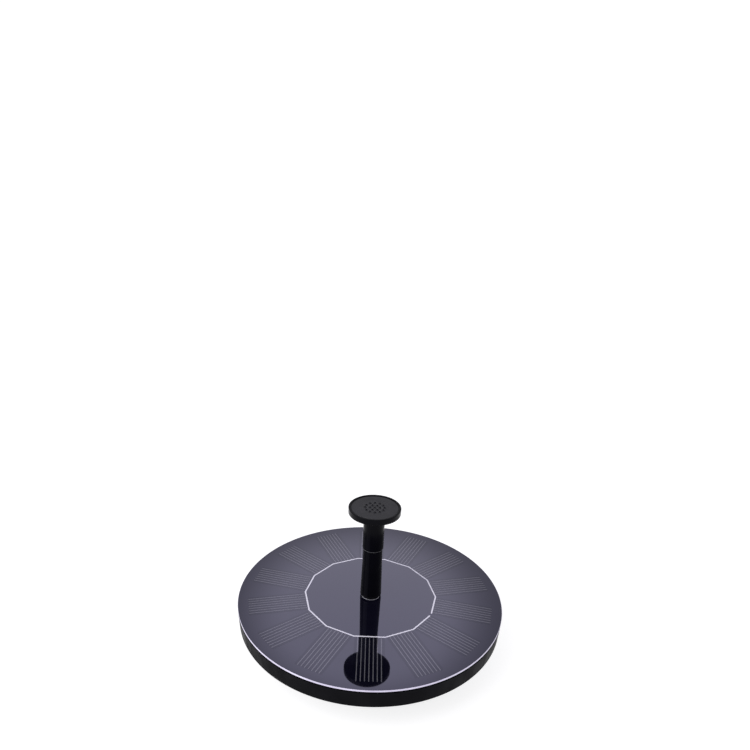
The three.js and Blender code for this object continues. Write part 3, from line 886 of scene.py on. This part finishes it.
def leads():
    """The two leads from the panel and the two wires to the stator."""
    top = driver_high.z + 0.1
    for name, node, side, material in (("red_lead", "positive_lead", 1, RED),
                                       ("black_lead", "negative_lead", -1, BLACK)):
        y = 7 + side * 1.6
        route = [(-22, y, top), (-22, y, top + 3), (-18, y + side * 1.2, top + 6.2),
                 (-13, y + side * 1.2, board_low.z - 3), (-12, y, board_low.z - 0.3)]
        bm = bmesh.new()
        tube(bm, spline(route), 0.6, 16)
        piece(name, bm, "float", material, [node])
    for i, side in enumerate((1, -1)):
        route = [(-10, side * 6.5, top), (-9, side * 6.8, top + 4), (0, side * 8, core_high.z + 2.4),
                 (ROTOR_X - 8.5, side * 8.2, core_high.z + 1.9)]
        bm = bmesh.new()
        tube(bm, spline(route), 0.4, 12)
        piece(f"winding_tail_{i + 1:02d}", bm, "float", COPPER, [f"stator_lead_{i + 1:02d}"])


stator_stack()
windings()
driver_pcb()
chip()
capacitor()
leads()

# ---- Rotor ----

IMPELLER_R = impeller_high.x - ROTOR_X
SHAFT_R = shaft_high.x - ROTOR_X
VANES = 6


def vane(turn):
    """The outline of a vane that sweeps backwards from the hub, thinning to a round tip."""
    root, sweep, steps = 2, -0.9, 14
    half_thick, tip_start, tip_length = 0.45, 0.9, 0.101
    sides = ([], [])
    for i in range(steps + 1):
        t = i / steps
        r = root + (IMPELLER_R - 0.1 - root) * t
        half = half_thick * sqrt(1 - (max(0, t - tip_start) / tip_length) ** 2)
        for side, sign in zip(sides, (-1, 1)):
            angle = turn + sweep * t * t + sign * half / r
            side.append((ROTOR_X + r * cos(angle), r * sin(angle)))
    return sides[0] + sides[1][::-1]


def impeller_wheel():
    disc_under = PLATE_UNDER - 1.8
    bore = SHAFT_R + 0.1
    hub = wheel([
        (bore, impeller_low.z, 0.1),
        (2.4, impeller_low.z, 0.5),
        (2.4, impeller_high.z, 0.3),
        (bore, impeller_high.z, 0.1),
    ], 48, ROTOR_X)
    shroud = wheel([
        (2, disc_under, 0.05),
        (IMPELLER_R, disc_under, 0.3),
        (IMPELLER_R, disc_under + 1, 0.3),
        (2, disc_under + 1, 0.05),
    ], 96, ROTOR_X)
    vanes = [solid(vane(turn), impeller_low.z, disc_under + 0.3) for turn in evenly(VANES)]
    made = combined("UNION", hub, shroud, *vanes)
    soften(piece("impeller_wheel", made, "rotor", WHEEL, ["impeller"]), 0.06)


def rotor_pieces():
    inner = 2.5
    outer = magnet_high.x - ROTOR_X
    ring = wheel([
        (inner, magnet_low.z, 0.3),
        (outer, magnet_low.z, 0.4),
        (outer, magnet_high.z, 0.4),
        (inner, magnet_high.z, 0.3),
    ], 64, ROTOR_X)
    piece("magnet_ring", ring, "rotor", MAGNET, ["rotor_magnet"])
    pin = wheel([
        (0, shaft_low.z),
        (SHAFT_R, shaft_low.z, 0.3),
        (SHAFT_R, shaft_high.z, 0.3),
        (0, shaft_high.z),
    ], 32, ROTOR_X)
    piece("shaft_pin", pin, "pump_cover", CERAMIC, ["rotor_shaft"])
    bore = SHAFT_R + 0.05
    bush = upper_high.x - ROTOR_X
    sleeve = wheel([
        (bore, upper_low.z, 0.2),
        (bush, upper_low.z, 0.3),
        (bush, upper_high.z, 0.3),
        (bore, upper_high.z, 0.2),
    ], 48, ROTOR_X)
    piece("bush_sleeve", sleeve, "float", RUBBER, ["upper_bush"])
    cup = lower_high.x - ROTOR_X
    socket = wheel([
        (0, lower_low.z),
        (cup, lower_low.z, 0.3),
        (cup, lower_high.z, 0.3),
        (bore, lower_high.z, 0.2),
        (bore, lower_low.z + 0.6),
        (0, lower_low.z + 0.6),
    ], 48, ROTOR_X)
    piece("bush_cup", socket, "pump_cover", RUBBER, ["lower_bush"])


impeller_wheel()
rotor_pieces()

# ---- Covers under the pump ----

COVER_UNDER = cover_low.z + 3.1
SLOTS = 36


def cover_plate():
    """The plate that closes the volute: an eye, three spokes to the shaft's hub, and a grip."""
    bottom, top, radius = COVER_UNDER, cover_high.z, cover_high.y
    eye_r, hub_r, hub_bore_r, hub_floor = 5.4, 3, 2.05, lower_low.z - 0.2
    plate = wheel([(0, bottom), (radius, bottom, 0.35), (radius, top, 0.35), (0, top)], 128)
    eye = disc(eye_r, bottom - 1, top + 1, 64, ROTOR_X)
    groove_top = bottom + 0.25
    groove = wheel([(8, bottom - 1), (8.6, bottom - 1), (8.6, groove_top), (8, groove_top)], 108, ROTOR_X)
    plate = combined("DIFFERENCE", plate, eye, groove)
    hub = wheel([
        (0, cover_low.z),
        (hub_r, cover_low.z, 0.5),
        (hub_r, top, 0.2),
        (hub_bore_r, top),
        (hub_bore_r, hub_floor),
        (0, hub_floor),
    ], 48, ROTOR_X)
    spoke_bottom, spoke_top = bottom + 0.15, top - 0.15
    spoke = [(-0.55, spoke_bottom), (0.55, spoke_bottom), (0.55, spoke_top), (-0.55, spoke_top)]
    reach = solid(spoke, ROTOR_X + hub_r - 0.5, ROTOR_X + eye_r + 0.5, "x")
    spokes = copies(reach, evenly(3, pi), ROTOR_X)
    grip = solid(oblong(-12, 4, 0.9, 8), bottom - 2.4, bottom + 0.1)
    made = combined("UNION", plate, hub, spokes, grip)
    soften(piece("cover_plate", made, "pump_cover", PUMP, ["impeller_cover"]), 0.1)


def strainer_cup():
    """The slotted cup, with flutes for the fingers between its three notches."""
    under, floor, top = strainer_low.z, 1.6, strainer_high.z
    outer, inner = strainer_high.x, strainer_high.x - 1.6
    cup = wheel([
        (0, under),
        (outer, under, 1.7),
        (outer, top, 0.35),
        (inner, top, 0.35),
        (inner, floor, 0.8),
        (0, floor),
    ], 180)
    window = [(y, z) for z, y in oblong(floor + 0.4, COVER_UNDER, 1)]
    windows = copies(solid(window, inner - 1, outer + 1, "x"), evenly(SLOTS, pi / SLOTS))
    floor_slots = copies(solid(oblong(13, 29, 0.9), -1, floor + 1), evenly(SLOTS // 2, pi / SLOTS))
    notch = rounded([(-3, top - 3.2, 0.6), (3, top - 3.2, 0.6), (3, top + 1), (-3, top + 1)], 4)
    notches = copies(solid(notch, inner - 1, outer + 1, "x"), LUG_TURNS)
    grooves = [wheel([(r, -1), (r + 0.8, -1), (r + 0.8, 0.3), (r, 0.3)], 144) for r in (10.2, 31)]
    flute = [(y, z) for z, y in oblong(9, 14, 0.45)]
    flute_turn = 0.045
    grips = [turn + pi / 3 + j * flute_turn for turn in LUG_TURNS for j in range(-4, 5)]
    flutes = copies(solid(flute, outer - 0.35, outer + 1, "x"), grips)
    cup = combined("DIFFERENCE", cup, windows, floor_slots, notches, flutes, *grooves)
    soften(piece("strainer_cup", cup, "strainer", PUMP, ["strainer_cover"]), 0.16)


cover_plate()
strainer_cup()

# ---- Tube and nozzle ----

HEAD_T = 3.7
SPIGOT_R = 5.05


def collar():
    foot_r, bore_r = collar_high.x - 0.95, OUTLET_R + 0.1
    outline = [
        (bore_r, collar_low.z, 0.1),
        (foot_r, collar_low.z, 0.15),
        (collar_high.x, PANEL_TOP + 1.4, 0.6),
        (collar_high.x, collar_high.z, 0.1),
        (bore_r, collar_high.z, 0.1),
    ]
    turned("seal_collar", outline, "float", COLLAR, ["outlet_seal_collar"])
    # The bead's pale grey is a painted highlight along the collar's top edge.
    bead = circle(0.17, 12, foot_r + 0.12, PANEL_TOP + 0.02)
    turned("sealant_bead", bead, "float", SEALANT_HIGHLIGHT)


def riser_tube():
    bottom, seam = collar_high.z + 0.06, nozzle_low.z - 0.15
    foot_r, top_r, bore_r = tube_high.x, 5.7, 3.8
    socket_r, socket_top = OUTLET_R + 0.15, pump_high.z + 0.4
    outline = [
        (socket_r, bottom, 0.1),
        (foot_r, bottom, 0.12),
        (top_r, seam - 0.3),
        (top_r - 0.3, seam),
        (SPIGOT_R, seam),
        (SPIGOT_R, tube_high.z, 0.4),
        (bore_r, tube_high.z, 0.2),
        (bore_r, socket_top + 1, 0.5),
        (socket_r, socket_top, 0.3),
    ]
    turned("riser_tube", outline, "tube", PIPE, ["extension_tube"])
    # The ring's grey is a painted highlight along the seam.
    ring_r, ring_bottom, ring_top = 6.1, seam - 0.16, seam + 0.1
    ring = [
        (top_r - 0.4, ring_bottom),
        (ring_r, ring_bottom, 0.1),
        (ring_r, ring_top, 0.1),
        (top_r - 0.4, ring_top),
    ]
    turned("seal_ring", ring, "tube", SEAM_HIGHLIGHT)


def nozzle_shell():
    sleeve_r, socket_r, bore_r = 6.2, SPIGOT_R + 0.15, 4.4
    head_r, recess_r, plenum_r = nozzle_high.x, nozzle_high.x - 1.4, 8
    top, under, floor = nozzle_high.z, nozzle_high.z - HEAD_T, nozzle_high.z - 1.4
    flare = bezier([(sleeve_r, under - 3), (sleeve_r + 0.1, under - 1.2), (sleeve_r + 1, under - 0.4),
                    (head_r - 0.6, under)], 16)
    outline = [
        (socket_r, nozzle_low.z, 0.1),
        (sleeve_r, nozzle_low.z, 0.22),
        *[tuple(point) for point in flare],
        (head_r, under + 0.3, 0.3),
        (head_r, top, 0.3),
        (recess_r, top, 0.25),
        (recess_r, floor, 0.1),
        (plenum_r, floor, 0.3),
        (plenum_r, floor - 1.2, 0.4),
        (bore_r, floor - 4, 0.6),
        (bore_r, tube_high.z + 1.2, 0.2),
        (socket_r, tube_high.z + 0.3, 0.1),
    ]
    turned("nozzle_shell", outline, "nozzle", PIPE, ["nozzle_body"])


def jet_plate():
    """The disc of jets, each with a low lip round it."""
    pitch, jet_r, top = 2.8, 0.55, plate_high.z
    jets = [(0, 0)] + circle(pitch, 6) + circle(2 * pitch, 12)
    outlines = [circle(plate_high.x, 128)] + [circle(jet_r, 20, x, y) for x, y in jets]
    plate = pierced(outlines, plate_low.z, top, 0.12)
    piece("jet_plate", plate, "nozzle", JET, ["spray_plate"])
    lip_r = jet_r + 0.01
    lip = [(lip_r, top - 0.1), (1, top - 0.1), (0.92, top + 0.18, 0.08), (lip_r, top + 0.18, 0.06)]
    bm = bmesh.new()
    for x, y in jets:
        spin(bm, rounded(lip, 3), 24, x, y)
    piece("jet_lips", bm, "nozzle", JET)


collar()
riser_tube()
nozzle_shell()
jet_plate()

# ---- Floor, light and camera ----


def make_floor():
    paint = Paint("studio_floor", IOR=1.45, Emission_Color=(1, 1, 1, 1), Emission_Strength=0.8)
    paint.colour(paint.mixed(paint.noise(90), (0.37, 0.37, 0.38), (0.40, 0.40, 0.41)))
    paint.roughness(paint.ranged(paint.noise(30), 0.6, 0.7))
    bm = bmesh.new()
    bmesh.ops.create_circle(bm, cap_ends=True, segments=128, radius=6)
    mesh = bpy.data.meshes.new("floor")
    bm.to_mesh(mesh)
    bm.free()
    mesh.materials.append(paint.material)
    floor = bpy.data.objects.new("floor", mesh)
    bpy.context.scene.collection.objects.link(floor)
    floor.location.z = cad_bounds[0].z
    # The strainer stands on the floor, so the floor stays under it when it is pulled off.
    floor.parent = frame["bodies"]["strainer"]


def make_world():
    """A white horizon, dimmer overhead, with one bright oval patch high up behind the fountain."""
    world = bpy.data.worlds.new("studio")
    world.use_nodes = True
    tree = world.node_tree
    direction = tree.nodes.new("ShaderNodeTexCoord").outputs["Generated"]

    def ranged(value, low, high, near, far):
        """value, taken smoothly from near..far to low..high."""
        made = tree.nodes.new("ShaderNodeMapRange")
        made.interpolation_type = "SMOOTHSTEP"
        tree.links.new(value, made.inputs["Value"])
        for name, level in (("From Min", near), ("From Max", far), ("To Min", low), ("To Max", high)):
            made.inputs[name].default_value = level
        return made.outputs["Result"]

    def vector_math(operation, first, second=(0, 0, 0), result="Vector"):
        made = tree.nodes.new("ShaderNodeVectorMath")
        made.operation = operation
        tree.links.new(first, made.inputs[0])
        made.inputs[1].default_value = second
        return made.outputs[result]

    lift = radians(38.5)
    white, bright, dim = 1.1, 1.36, 0.54
    away = vector_math("SUBTRACT", direction, (0.005, cos(lift), sin(lift)))
    oval = vector_math("MULTIPLY", away, (1, 1.35, 1.35))
    patch = ranged(vector_math("LENGTH", oval, result="Value"), bright, dim, 0.11, 0.21)
    height = vector_math("DOT_PRODUCT", direction, (0, 0, 1), "Value")
    horizon = ranged(height, white, dim, 0.2, 0.5)
    brighter = tree.nodes.new("ShaderNodeMath")
    brighter.operation = "MAXIMUM"
    tree.links.new(patch, brighter.inputs[0])
    tree.links.new(horizon, brighter.inputs[1])
    tree.links.new(brighter.outputs[0], tree.nodes["Background"].inputs["Strength"])
    tree.nodes["Background"].inputs["Color"].default_value = (0.965, 0.955, 1, 1)
    bpy.context.scene.world = world


def make_lamp(name, place, size, power):
    """A soft square lamp, aimed at the panel's centre."""
    lamp = bpy.data.lights.new(name, "AREA")
    lamp.size, lamp.energy = size, power
    made = bpy.data.objects.new(name, lamp)
    made.location = place
    aim = Vector((0, 0, PANEL_TOP * MM)) - Vector(place)
    made.rotation_euler = aim.to_track_quat("-Z", "Y").to_euler()
    bpy.context.scene.collection.objects.link(made)


def make_camera():
    """A viewpoint close to the fountain, looking down on the panel, and rolled slightly."""
    distance, elevation, side = 0.40695, radians(36.77), radians(-1.0)
    pitch, yaw, roll = radians(-26.82), radians(-0.87), radians(2.83)
    camera = bpy.data.cameras.new("camera")
    camera.lens, camera.sensor_width, camera.shift_y = 31.31, 36, 0.14
    made = bpy.data.objects.new("camera", camera)
    target = Vector((0, 0, PANEL_TOP * MM))
    aim = Matrix.Rotation(yaw, 4, "Z") @ Matrix.Rotation(pi / 2 + pitch, 4, "X")
    turn = aim @ Matrix.Rotation(roll, 4, "Z")
    away = Matrix.Rotation(side, 3, "Z") @ Vector((0, -cos(elevation), sin(elevation)))
    made.matrix_world = Matrix.Translation(target + distance * away) @ turn
    bpy.context.scene.collection.objects.link(made)
    bpy.context.scene.camera = made


make_floor()
make_world()
make_lamp("key", (-0.8, -0.5, 1.0), 0.9, 9)
make_camera()
bpy.context.scene.view_settings.view_transform = "Standard"
